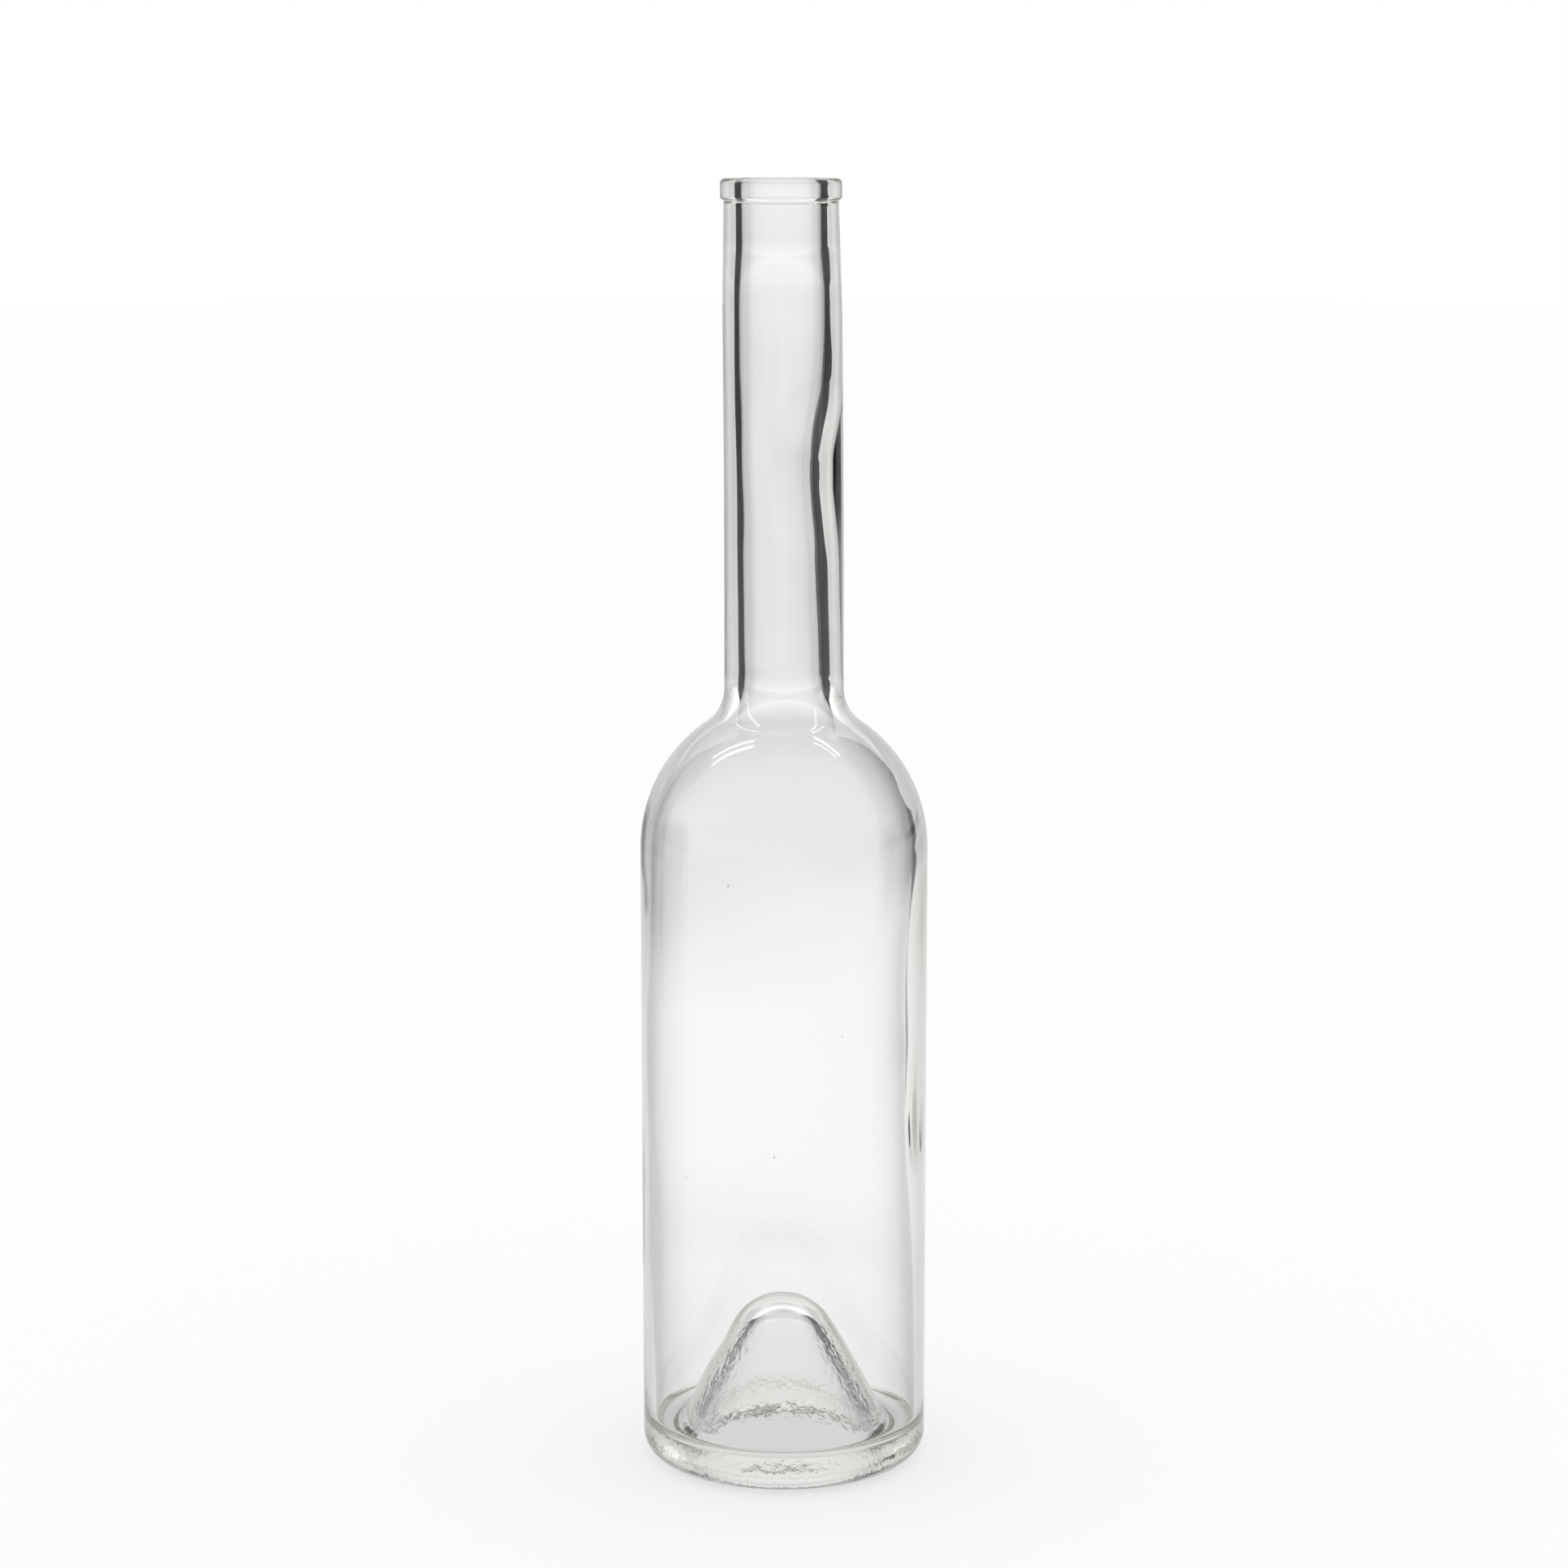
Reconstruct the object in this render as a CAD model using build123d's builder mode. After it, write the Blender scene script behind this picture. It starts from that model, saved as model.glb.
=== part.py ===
# A tall clear-glass bottle with a cork mouth: straight round body, domed shoulder, long narrow
# neck, low lip band and a deep punt under the base. All of it is one blown and moulded piece.
# Units are millimetres. The origin is on the axis, in the plane that the bottle stands on, +Z up.

import os
from math import asin, atan2, cos, degrees, hypot, sin, sqrt

from build123d import *

os.makedirs("parts", exist_ok=True)

# Overall sizes
bottle_height = 305.3
body_radius = 34.0
body_wall = 2.5

# Shoulder and neck, outside
shoulder_height = 149.0
shoulder_radius = 36.0
neck_sweep_radius = 10.0
neck_root_radius = 14.05
neck_top_radius = 13.3
collar_length = 24.0

# How much of the neck's whole taper is left for the collar, as a share
collar_taper_share = 0.75

# Lip band round the mouth
lip_overhang = 0.8
lip_height = 5.0
lip_top_round = 1.2
lip_under_round = 0.5
lip_joint_round = 0.2
mouth_round = 1.2

# Cork bore and the blown passage under it
cork_bore_radius = 9.3
cork_bore_length = 14.8
bore_step_length = 5.0
passage_top_radius = 10.0
passage_middle_radius = 9.7
passage_waist_radius = 8.9
passage_foot_radius = 9.3
passage_sweep_radius = 15.0

# Where the passage's middle and waist lie, as shares of its length from the foot up
passage_place_shares = (0.16, 0.55)

# Heel, standing ring and punt
heel_radius = 6.0
ring_width = 2.6
ring_round = 0.9
punt_depth = 35.0
punt_tip_radius = 9.5
floor_thickness = 4.2
trough_radius = 3.7

# Soda-lime glass weighs 2.5 grams a cubic centimetre, and a millilitre is as large
glass_density = 2.5
millilitre = 1000


def tangent_height(outer_radius, inner_radius, arc_radius, sweep_radius):
    """Height from a shoulder arc's centre to the centre of the sweep that meets it and the neck."""
    step = outer_radius - inner_radius
    return sqrt(step * (2 * (arc_radius + sweep_radius) - step))


def touch_point(arc_centre, sweep_centre, arc_radius, sweep_radius):
    """The point where two arcs that bend opposite ways touch."""
    share = arc_radius / (arc_radius + sweep_radius)
    return tuple(a + (b - a) * share for a, b in zip(arc_centre, sweep_centre))


def arc_middle(centre, start, end):
    """The point halfway along the short arc from start to end about centre."""
    radius = hypot(start[0] - centre[0], start[1] - centre[1])
    middle = ((start[0] + end[0]) / 2 - centre[0], (start[1] + end[1]) / 2 - centre[1])
    reach = hypot(*middle)
    return (centre[0] + middle[0] * radius / reach, centre[1] + middle[1] * radius / reach)


def arc(centre, start, end):
    """The short arc from start to end about centre."""
    return ThreePointArc(start, arc_middle(centre, start, end), end)


# Outside of the shoulder: a large arc that turns outwards again in a small sweep up the neck
shoulder_centre = (body_radius - shoulder_radius, shoulder_height)
neck_foot_height = shoulder_height + tangent_height(
    body_radius, neck_root_radius, shoulder_radius, neck_sweep_radius
)
neck_sweep_centre = (neck_root_radius + neck_sweep_radius, neck_foot_height)
shoulder_end = touch_point(shoulder_centre, neck_sweep_centre, shoulder_radius, neck_sweep_radius)

# Outside of the neck: a long slight taper, then the shorter taper of the collar under the lip
lip_radius = neck_top_radius + lip_overhang
lip_foot_height = bottle_height - lip_height
collar_foot_height = lip_foot_height - collar_length
collar_foot_radius = neck_top_radius + (neck_root_radius - neck_top_radius) * collar_taper_share

# Underside: the punt's flank runs from its round tip down to the inner edge of the standing ring
ring_outer_radius = body_radius - heel_radius
ring_inner_radius = ring_outer_radius - ring_width
punt_centre = (0, punt_depth - punt_tip_radius)
flank_angle = atan2(punt_centre[1], ring_inner_radius) + asin(
    punt_tip_radius / hypot(punt_centre[1], ring_inner_radius)
)
flank_normal = (sin(flank_angle), cos(flank_angle))
punt_shoulder = (punt_tip_radius * flank_normal[0], punt_centre[1] + punt_tip_radius * flank_normal[1])

with BuildSketch(Plane.XZ) as outside_profile:
    with BuildLine():
        arc(punt_centre, (0, punt_depth), punt_shoulder)
        FilletPolyline(
            punt_shoulder,
            (ring_inner_radius, 0),
            (ring_outer_radius, 0),
            radius=ring_round,
        )
        arc((ring_outer_radius, heel_radius), (ring_outer_radius, 0), (body_radius, heel_radius))
        Line((body_radius, heel_radius), (body_radius, shoulder_height))
        arc(shoulder_centre, (body_radius, shoulder_height), shoulder_end)
        arc(neck_sweep_centre, shoulder_end, (neck_root_radius, neck_foot_height))
        Line((neck_root_radius, neck_foot_height), (collar_foot_radius, collar_foot_height))
        FilletPolyline(
            (collar_foot_radius, collar_foot_height),
            (neck_top_radius, lip_foot_height),
            (lip_radius, lip_foot_height),
            (lip_radius, bottle_height),
            (0, bottle_height),
            radius=(lip_joint_round, lip_under_round, lip_top_round),
        )
        Line((0, bottle_height), (0, punt_depth))
    make_face()

# Inside of the floor: the punt's form again, one floor thickness in, down to a round trough
inner_radius = body_radius - body_wall
floor_tip_radius = punt_tip_radius + floor_thickness
floor_tip_height = punt_depth + floor_thickness
floor_shoulder = (
    floor_tip_radius * flank_normal[0],
    punt_centre[1] + floor_tip_radius * flank_normal[1],
)
trough_centre_radius = inner_radius - trough_radius
trough_centre_height = floor_shoulder[1] + (
    trough_radius - flank_normal[0] * (trough_centre_radius - floor_shoulder[0])
) / flank_normal[1]
trough_centre = (trough_centre_radius, trough_centre_height)
trough_start = (
    trough_centre_radius - trough_radius * flank_normal[0],
    trough_centre_height - trough_radius * flank_normal[1],
)
trough_bottom = (trough_centre_radius, trough_centre_height - trough_radius)

# Inside of the shoulder: the wall keeps its thickness, then sweeps into the thicker neck
inner_shoulder_radius = shoulder_radius - body_wall
passage_foot_height = shoulder_height + tangent_height(
    inner_radius, passage_foot_radius, inner_shoulder_radius, passage_sweep_radius
)
passage_sweep_centre = (passage_foot_radius + passage_sweep_radius, passage_foot_height)
inner_shoulder_end = touch_point(
    shoulder_centre, passage_sweep_centre, inner_shoulder_radius, passage_sweep_radius
)

# Inside of the neck: a blown, uneven passage that ends in the true bore for the cork
cork_bore_foot = bottle_height - mouth_round - cork_bore_length
passage_top_height = cork_bore_foot - bore_step_length
passage_length = passage_top_height - passage_foot_height
waist_height, middle_height = (passage_foot_height + passage_length * s for s in passage_place_shares)

with BuildSketch(Plane.XZ) as cavity_profile:
    with BuildLine():
        arc(punt_centre, (0, floor_tip_height), floor_shoulder)
        Line(floor_shoulder, trough_start)
        arc(trough_centre, trough_start, trough_bottom)
        arc(trough_centre, trough_bottom, (inner_radius, trough_centre_height))
        Line((inner_radius, trough_centre_height), (inner_radius, shoulder_height))
        arc(shoulder_centre, (inner_radius, shoulder_height), inner_shoulder_end)
        arc(passage_sweep_centre, inner_shoulder_end, (passage_foot_radius, passage_foot_height))
        Spline(
            (passage_foot_radius, passage_foot_height),
            (passage_waist_radius, waist_height),
            (passage_middle_radius, middle_height),
            (passage_top_radius, passage_top_height),
            tangents=((0, 1), (0, 1)),
        )
        Spline(
            (passage_top_radius, passage_top_height),
            (cork_bore_radius, cork_bore_foot),
            tangents=((0, 1), (0, 1)),
        )
        Line((cork_bore_radius, cork_bore_foot), (cork_bore_radius, bottle_height - mouth_round))
        arc(
            (cork_bore_radius + mouth_round, bottle_height - mouth_round),
            (cork_bore_radius, bottle_height - mouth_round),
            (cork_bore_radius + mouth_round, bottle_height),
        )
        Line((cork_bore_radius + mouth_round, bottle_height), (0, bottle_height))
        Line((0, bottle_height), (0, floor_tip_height))
    make_face()

with BuildPart() as cavity:
    add(cavity_profile.sketch)
    revolve(axis=Axis.Z)

# The bottle: the outside turned about the axis and hollowed by the cavity
with BuildPart() as bottle:
    add(outside_profile.sketch)
    revolve(axis=Axis.Z)
    add(cavity.part, mode=Mode.SUBTRACT)

bottle.part.label = "bottle"
export_step(bottle.part, "parts/bottle.step")

capacity = cavity.part.volume / millilitre
glass_mass = bottle.part.volume / millilitre * glass_density
print(f"brimful capacity {capacity:.0f} ml, glass {glass_mass:.0f} g")
print(f"flank angle {degrees(flank_angle):.1f} degrees, trough floor at {trough_bottom[1]:.2f}")
print(f"neck foot at {neck_foot_height:.1f}, passage foot at {passage_foot_height:.1f}")
print(f"cork bore from {cork_bore_foot:.1f} to {bottle_height - mouth_round:.1f}")
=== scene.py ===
# %% [markdown]
# # A clear-glass bottle for a cork
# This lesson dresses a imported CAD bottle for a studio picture. Clear glass has almost no colour of
# its own: the eye reads it from how its two walls bend what stands behind them. So the lesson
# spends most of its work on three things: a true wall with an outside and an inside, the small
# faults that a blown bottle has, and a room with something dark in it for the glass to bend.

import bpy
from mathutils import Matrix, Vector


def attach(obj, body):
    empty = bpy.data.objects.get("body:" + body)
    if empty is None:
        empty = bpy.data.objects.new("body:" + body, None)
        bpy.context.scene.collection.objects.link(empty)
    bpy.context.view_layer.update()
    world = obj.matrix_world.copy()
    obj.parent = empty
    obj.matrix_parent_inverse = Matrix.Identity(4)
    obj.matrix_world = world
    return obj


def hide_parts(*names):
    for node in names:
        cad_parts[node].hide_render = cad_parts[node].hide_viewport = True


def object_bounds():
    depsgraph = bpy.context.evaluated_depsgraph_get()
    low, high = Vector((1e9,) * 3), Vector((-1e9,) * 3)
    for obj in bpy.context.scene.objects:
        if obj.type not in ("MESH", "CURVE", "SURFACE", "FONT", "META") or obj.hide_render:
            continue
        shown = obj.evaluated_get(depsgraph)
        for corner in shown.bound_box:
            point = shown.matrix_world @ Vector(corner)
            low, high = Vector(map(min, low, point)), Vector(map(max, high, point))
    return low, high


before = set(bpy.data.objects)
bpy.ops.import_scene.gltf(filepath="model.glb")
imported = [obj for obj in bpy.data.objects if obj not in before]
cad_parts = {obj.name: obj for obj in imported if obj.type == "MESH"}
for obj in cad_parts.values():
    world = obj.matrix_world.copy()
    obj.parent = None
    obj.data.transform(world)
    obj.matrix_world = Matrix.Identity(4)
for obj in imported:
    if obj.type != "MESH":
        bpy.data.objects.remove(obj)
cad_low, cad_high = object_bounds()
print("CAD box, metres:", [round(v, 4) for v in (*cad_low, *cad_high)])

# %% [markdown]
# ## Tools for the whole lesson
# Numpy holds the rows of the bottle's wall, because moving hundreds of thousands of points one at a
# time in a Python loop would take minutes. Sizes below are in millimetres, as on a drawing, and one
# value turns them into Blender's metres. The width of the body and the height are read from the
# CAD box, so that the picture and the CAD can't part.

# %% Units and imports
from math import asin, atan2, cos, hypot, pi, radians, sin, sqrt

import bpy
import numpy as np

MM = 0.001
BODY_RADIUS, TOP = round(cad_high[0] / MM, 1), round(cad_high[2] / MM, 1)
print("body radius and height, mm:", BODY_RADIUS, TOP)

# %% [markdown]
# ## The outside of the bottle
# A blown bottle is turned about one axis, so half of its section says everything. The outside
# could be taken from the CAD mesh, but that mesh has flat facets, and glass shows each facet as a
# kink in what is seen through it. So the section is drawn again here, as arcs and straight runs
# sampled finely enough to stay smooth. Two helpers draw them as rows of (radius, height) points.

# %% Draw arcs and runs
def arc_row(centre, radius, start, end, step=0.5):
    """Points on an arc from one heading to another, in degrees, no further apart than step."""
    count = max(int(abs(radians(end - start)) * radius / step), 4)
    headings = np.radians(np.linspace(start, end, count + 1))
    return [(centre[0] + radius * cos(a), centre[1] + radius * sin(a)) for a in headings]


def straight_row(start, end, step=2.0):
    """Points on a straight run, no further apart than step."""
    count = max(int(hypot(end[0] - start[0], end[1] - start[1]) / step), 1)
    return [tuple(p) for p in np.linspace(start, end, count + 1)]


print("a quarter round of 6 mm takes", len(arc_row((0, 0), 6.0, 0, 90)), "points")

# %% [markdown]
# The punt is the hollow pushed up into the base. Its flank leaves a round tip and runs straight
# down to the inner edge of the ring that the bottle stands on. The heading at which the flank
# leaves the tip follows from the two ends, so it is worked out and not guessed.

# %% Work out the punt's flank
PUNT_TOP, TIP_RADIUS, RING_INNER = 35.0, 9.5, 25.4
tip_centre = (0.0, PUNT_TOP - TIP_RADIUS)
flank = atan2(tip_centre[1], RING_INNER) + asin(TIP_RADIUS / hypot(tip_centre[1], RING_INNER))
flank_out = (sin(flank), cos(flank))
flank_degrees = flank * 180 / pi
flank_heading = 90 - flank_degrees
print("flank slope, degrees from level:", round(flank_degrees, 1))

# %% [markdown]
# Three things meet under the bottle: the punt's flank, the narrow ring that it stands on, and the
# heel, which is the round between the base and the side. The mould's base plate presses them all,
# and no corner of such a plate is sharp. So each meeting is an arc, and the ring's inner one is
# placed where it touches both the flank and the flat of the ring.

# %% Underside: punt, standing ring and heel
RING_ROUND, HEEL_ROUND = 0.9, 6.0
RING_OUTER = BODY_RADIUS - HEEL_ROUND
flank_top = (TIP_RADIUS * flank_out[0], tip_centre[1] + TIP_RADIUS * flank_out[1])
flat_start = RING_INNER + RING_ROUND * np.tan(flank / 2)
round_heading = -90 - flank_degrees
flank_foot = (
    flat_start + RING_ROUND * cos(radians(round_heading)),
    RING_ROUND + RING_ROUND * sin(radians(round_heading)),
)
punt_rows = arc_row(tip_centre, TIP_RADIUS, 90, flank_heading)
punt_rows += straight_row(flank_top, flank_foot, step=0.45)[1:]
ring_rows = arc_row((flat_start, RING_ROUND), RING_ROUND, round_heading, -90, step=0.25)[1:]
ring_rows += straight_row((flat_start, 0.0), (RING_OUTER, 0.0), step=0.35)[1:]
heel_rows = arc_row((RING_OUTER, HEEL_ROUND), HEEL_ROUND, -90, 0, step=0.35)[1:]
print("rows under the bottle:", len(punt_rows), len(ring_rows), len(heel_rows))

# %% [markdown]
# Above the heel comes the straight body, a shoulder that is one large arc, and a small sweep that
# turns it up into the neck. Where two arcs touch without a kink, both centres and the touching
# point lie on one line. The neck then narrows a little, and more in its last 24 mm.

# %% Body, shoulder and neck, outside
SHOULDER_FOOT, SHOULDER_RADIUS = 149.0, 36.0
NECK_RADIUS, NECK_SWEEP = 14.05, 10.0
TAPER_BEND, NECK_TOP = (13.8625, 276.3), (13.3, 300.1)


def shoulder_rows(wall_radius, arc_radius, neck_radius, sweep_radius):
    """The shoulder's arc and the sweep into the neck, with the height where the neck begins."""
    centre = (BODY_RADIUS - SHOULDER_RADIUS, SHOULDER_FOOT)
    step = wall_radius - neck_radius
    rise = sqrt(step * (2 * (arc_radius + sweep_radius) - step))
    sweep_centre = (neck_radius + sweep_radius, SHOULDER_FOOT + rise)
    heading = np.degrees(atan2(rise, sweep_centre[0] - centre[0]))
    rows = arc_row(centre, arc_radius, 0, heading, step=0.8)
    rows += arc_row(sweep_centre, sweep_radius, 180 + heading, 180)[1:]
    return rows, sweep_centre[1]


body_rows = straight_row((BODY_RADIUS, HEEL_ROUND), (BODY_RADIUS, SHOULDER_FOOT), step=1.6)[1:]
outer_shoulder, neck_foot = shoulder_rows(BODY_RADIUS, SHOULDER_RADIUS, NECK_RADIUS, NECK_SWEEP)
neck_rows = straight_row((NECK_RADIUS, neck_foot), TAPER_BEND, step=1.2)[1:]
neck_rows += straight_row(TAPER_BEND, NECK_TOP, step=1.2)[1:]
print("neck begins at", round(neck_foot, 1), "mm")

# %% [markdown]
# The lip is a low band round the mouth. Its corners are fire-polished, which means that a flame
# melted them round. Each round is kept as a real arc, because the bright and dark threads that
# make a glass lip readable are pictures of the room bent by exactly these rounds.

# %% Lip band and mouth
LIP_RADIUS, LIP_FOOT, UNDER_ROUND = 14.1, 300.3, 0.95
NECK_UNDER_LIP, BORE_RADIUS, MOUTH_ROUND = 13.38, 9.3, 1.2
under_centre = (LIP_RADIUS - UNDER_ROUND, LIP_FOOT + UNDER_ROUND)
outer_round = (LIP_RADIUS - MOUTH_ROUND, TOP - MOUTH_ROUND)
inner_round = (BORE_RADIUS + MOUTH_ROUND, TOP - MOUTH_ROUND)
under_start = -90 + np.degrees(asin((NECK_UNDER_LIP - LIP_RADIUS + UNDER_ROUND) / UNDER_ROUND))
lip_rows = arc_row(under_centre, UNDER_ROUND, under_start, 0, step=0.08)
lip_rows += straight_row((LIP_RADIUS, under_centre[1]), (LIP_RADIUS, outer_round[1]), step=0.6)[1:]
lip_rows += arc_row(outer_round, MOUTH_ROUND, 0, 90, step=0.15)[1:]
lip_rows += straight_row((outer_round[0], TOP), (inner_round[0], TOP), step=0.6)[1:]
lip_rows += arc_row(inner_round, MOUTH_ROUND, 90, 180, step=0.15)[1:]
print("rows round the lip:", len(lip_rows))

# %% [markdown]
# ## The inside of the bottle
# Only the last 15 mm below the mouth are pressed to a true bore for the cork. Under it the neck
# was blown against air, so its inside wanders: wide under the bore, narrow near the shoulder. A
# smooth curve through a few (height, radius) knots draws that.

# %% Neck passage
BORE_FOOT = 290.5
passage_knots = [
    (191.46, 9.05), (199.0, 9.03), (208.0, 8.95), (222.0, 9.20), (241.7, 9.70),
    (262.0, 9.93), (274.0, 9.98), (280.5, 9.92), (285.5, 9.62), (BORE_FOOT, BORE_RADIUS),
]


def smooth_through(knots, at):
    """A cubic through the knots whose slopes come from their neighbours, flat at both ends."""
    xs, ys = np.array(knots).T
    at = np.clip(at, xs[0], xs[-1])
    slopes = np.zeros_like(ys)
    slopes[1:-1] = (ys[2:] - ys[:-2]) / (xs[2:] - xs[:-2])
    i = np.clip(np.searchsorted(xs, at) - 1, 0, len(xs) - 2)
    span = xs[i + 1] - xs[i]
    t = (at - xs[i]) / span
    return (
        ys[i] * (1 + 2 * t) * (1 - t) ** 2
        + ys[i + 1] * (3 - 2 * t) * t**2
        + span * t * (1 - t) * ((1 - t) * slopes[i] - t * slopes[i + 1])
    )


heights = np.arange(289.8, 191.8, -0.8)
passage_rows = straight_row((BORE_RADIUS, inner_round[1]), (BORE_RADIUS, BORE_FOOT), step=1.2)[1:]
passage_rows += list(zip(smooth_through(passage_knots, heights), heights))
print("rows down the passage:", len(passage_rows))

# %% [markdown]
# Below the passage the inside follows the outside at the wall's thickness, and the sweep under the
# neck is larger, because thick glass doesn't follow the mould into a tight corner. A round trough
# runs between the wall and the punt, and the floor lies over the punt like a blanket.

# %% Inside of shoulder, body and floor
WALL, FLOOR, TROUGH = 2.5, 4.2, 3.7
PASSAGE_RADIUS, PASSAGE_SWEEP = 9.05, 18.0
inner_radius = BODY_RADIUS - WALL
inner_shoulder, passage_foot = shoulder_rows(
    inner_radius, SHOULDER_RADIUS - WALL, PASSAGE_RADIUS, PASSAGE_SWEEP
)
floor_tip = TIP_RADIUS + FLOOR
floor_top = (floor_tip * flank_out[0], tip_centre[1] + floor_tip * flank_out[1])
trough_r = inner_radius - TROUGH
trough_z = floor_top[1] + (TROUGH - flank_out[0] * (trough_r - floor_top[0])) / flank_out[1]
inner_rows = inner_shoulder[::-1]
inner_rows += straight_row((inner_radius, SHOULDER_FOOT), (inner_radius, trough_z), step=1.6)[1:]
trough_rows = arc_row((trough_r, trough_z), TROUGH, 0, flank_heading - 180, step=0.35)[1:]
floor_rows = straight_row(trough_rows[-1], floor_top, step=0.9)[1:]
floor_rows += arc_row(tip_centre, floor_tip, flank_heading, 90, step=0.6)[1:]
print("trough's floor, passage's foot, mm:", round(trough_z - TROUGH, 2), round(passage_foot, 1))

# %% [markdown]
# ## One closed wall
# All these rows make one closed section, from the punt's tip, round the outside, over the lip and
# down the inside. Cycles must know where glass begins and ends, so nothing may be left open. Each
# row also gets a name for the zone that it lies in, so that the faults of the real glass can be
# put where they belong. Its outward normal is kept too, because every fault moves glass along it.

# %% Join the rows and name their zones
SAME_POINT = 0.02
zones = {
    "punt": punt_rows,
    "ring": ring_rows,
    "heel": heel_rows,
    "body": body_rows,
    "shoulder": outer_shoulder[1:],
    "neck": neck_rows,
    "lip": lip_rows,
    "passage": passage_rows,
    "inside": inner_rows,
    "trough": trough_rows,
    "floor": floor_rows,
}
section = np.array([p for rows in zones.values() for p in rows], float)
zone_of = np.array([name for name, rows in zones.items() for _ in rows])
kept = np.r_[True, np.hypot(*np.diff(section, axis=0).T) > SAME_POINT]
section, zone_of = section[kept], zone_of[kept]
along = np.gradient(section, axis=0)
along /= np.hypot(*along.T)[:, None]
outward = np.stack([along[:, 1], -along[:, 0]], 1)
print("rows:", len(section))

# %% [markdown]
# Turned about the axis, each row becomes a ring of points. 360 columns keep each facet of the body
# under 0.6 mm, which shading then smooths away.

# %% Turn the rows about the axis
COLUMNS = 360
turn = np.linspace(0, 2 * pi, COLUMNS, endpoint=False)
radius = np.repeat(section[:, :1], COLUMNS, 1)
height = np.repeat(section[:, 1:], COLUMNS, 1)
zone = np.repeat(zone_of[:, None], COLUMNS, 1)
spot = np.stack([radius * np.cos(turn), radius * np.sin(turn), height], 2)
print("facet of the body, mm:", round(2 * pi * BODY_RADIUS / COLUMNS, 2))

# %% [markdown]
# ## The faults of blown glass
# A perfect wall looks like plastic. In a real bottle the mould shapes only the outside, and the
# inside is left by air and gravity, so it ripples. A soft random field gives those ripples: random
# values on a grid in space, blended smoothly between the grid's corners. The grid's spacing is the
# width of a ripple in real millimetres. Blender's own noise could do it on the finished mesh, but
# this field can be added up with the other faults before any point is moved.

# %% A soft random field
TABLE_SIZE, PRIMES = 8192, (73856093, 19349663, 83492791)


def ripple(points, spacing, seed):
    """Smooth noise from -1 to 1 that changes over about one spacing, in millimetres."""
    table = np.random.default_rng(seed).uniform(-1, 1, TABLE_SIZE)
    scaled = points / spacing
    cell = np.floor(scaled).astype(np.int64)
    t = scaled - cell
    t = t * t * (3 - 2 * t)
    total = np.zeros(points.shape[:-1])
    for corner in np.ndindex(2, 2, 2):
        at = cell + corner
        key = (at[..., 0] * PRIMES[0]) ^ (at[..., 1] * PRIMES[1]) ^ (at[..., 2] * PRIMES[2])
        weight = np.prod([t[..., i] if c else 1 - t[..., i] for i, c in enumerate(corner)], axis=0)
        total += table[key % TABLE_SIZE] * weight
    return total


def ripples(points, layers):
    """The sum of several ripples, given as (depth, spacing, seed) layers."""
    return sum(depth * ripple(points, spacing, seed) for depth, spacing, seed in layers)


print("ripple at three points:", ripple(np.eye(3) * 5.0, 16.0, 3).round(2).tolist())

# %% [markdown]
# Every other fault is a soft hump that sits at some height and faces some way. Three helpers say
# that in words: a bell curve, a fade between two places, and the angle from a heading. Heading 0
# points along X, to the right in the picture, and that is the side where the glass is thickest.

# %% Humps, fades and headings
def bell(distance, reach, power=2):
    """A hump that is 1 at no distance and almost 0 at three reaches."""
    return np.exp(-0.5 * (distance / reach) ** power)


def fade(value, start, end):
    """A share that runs from 0 at the start to 1 at the end."""
    return np.clip((value - start) / (end - start), 0, 1)


def from_heading(heading):
    """How far each column stands from a heading in degrees, as an angle in radians."""
    return np.abs(np.angle(np.exp(1j * (turn - radians(heading)))))[None, :]


from_thick_side = from_heading(0)
print("furthest column from the thick side:", round(float(from_thick_side.max()), 2), "radians")

# %% [markdown]
# The blown inside has wide, slow ripples in the body and narrower ones in the neck, all drawn out
# three times as long up and down as they are round the bottle. The thick side stays hot for longer
# and evens itself out, so it is the calm side. The pressed bore has none.

# %% Ripple the inside wall
DRAWN_OUT, CALM, CALM_REACH = 0.35, 0.9, radians(38)
moved = np.zeros_like(radius)
stretched = spot * (1.0, 1.0, DRAWN_OUT)
body_wave = ripples(stretched, [(0.16, 16.0, 3), (0.05, 6.0, 4)])
body_wave *= 1 - CALM * np.exp(-((from_thick_side / CALM_REACH) ** 4))
neck_wave = ripples(stretched, [(0.10, 9.0, 5), (0.04, 4.0, 6)])
hollow = np.isin(zone, ["passage", "inside", "trough"])
below_bore = fade(height, 286, 278)
neck_share = fade(height, 178, 200)
neck_share = neck_share**2 * (3 - 2 * neck_share)
moved += hollow * (neck_share * neck_wave * below_bore + (1 - neck_share) * body_wave)
moved += (zone == "floor") * ripples(spot, [(0.12, 9.0, 7)])
print("inside ripples up to", round(float(np.abs(moved).max()), 2), "mm")

# %% [markdown]
# The air never sits quite in the middle of the glass. Here it lies to one side, most at 108 mm up,
# where one wall is 4.3 mm thick and the other 1.7 mm. Seen edge-on, the thick wall draws a thin
# dark line inside the outline, and the thin one doesn't. The line follows the curve of the shift,
# so a kink in the curve shows as a wave in the line. That is why the curve through the knots is
# averaged over 5 mm up and down.

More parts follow.
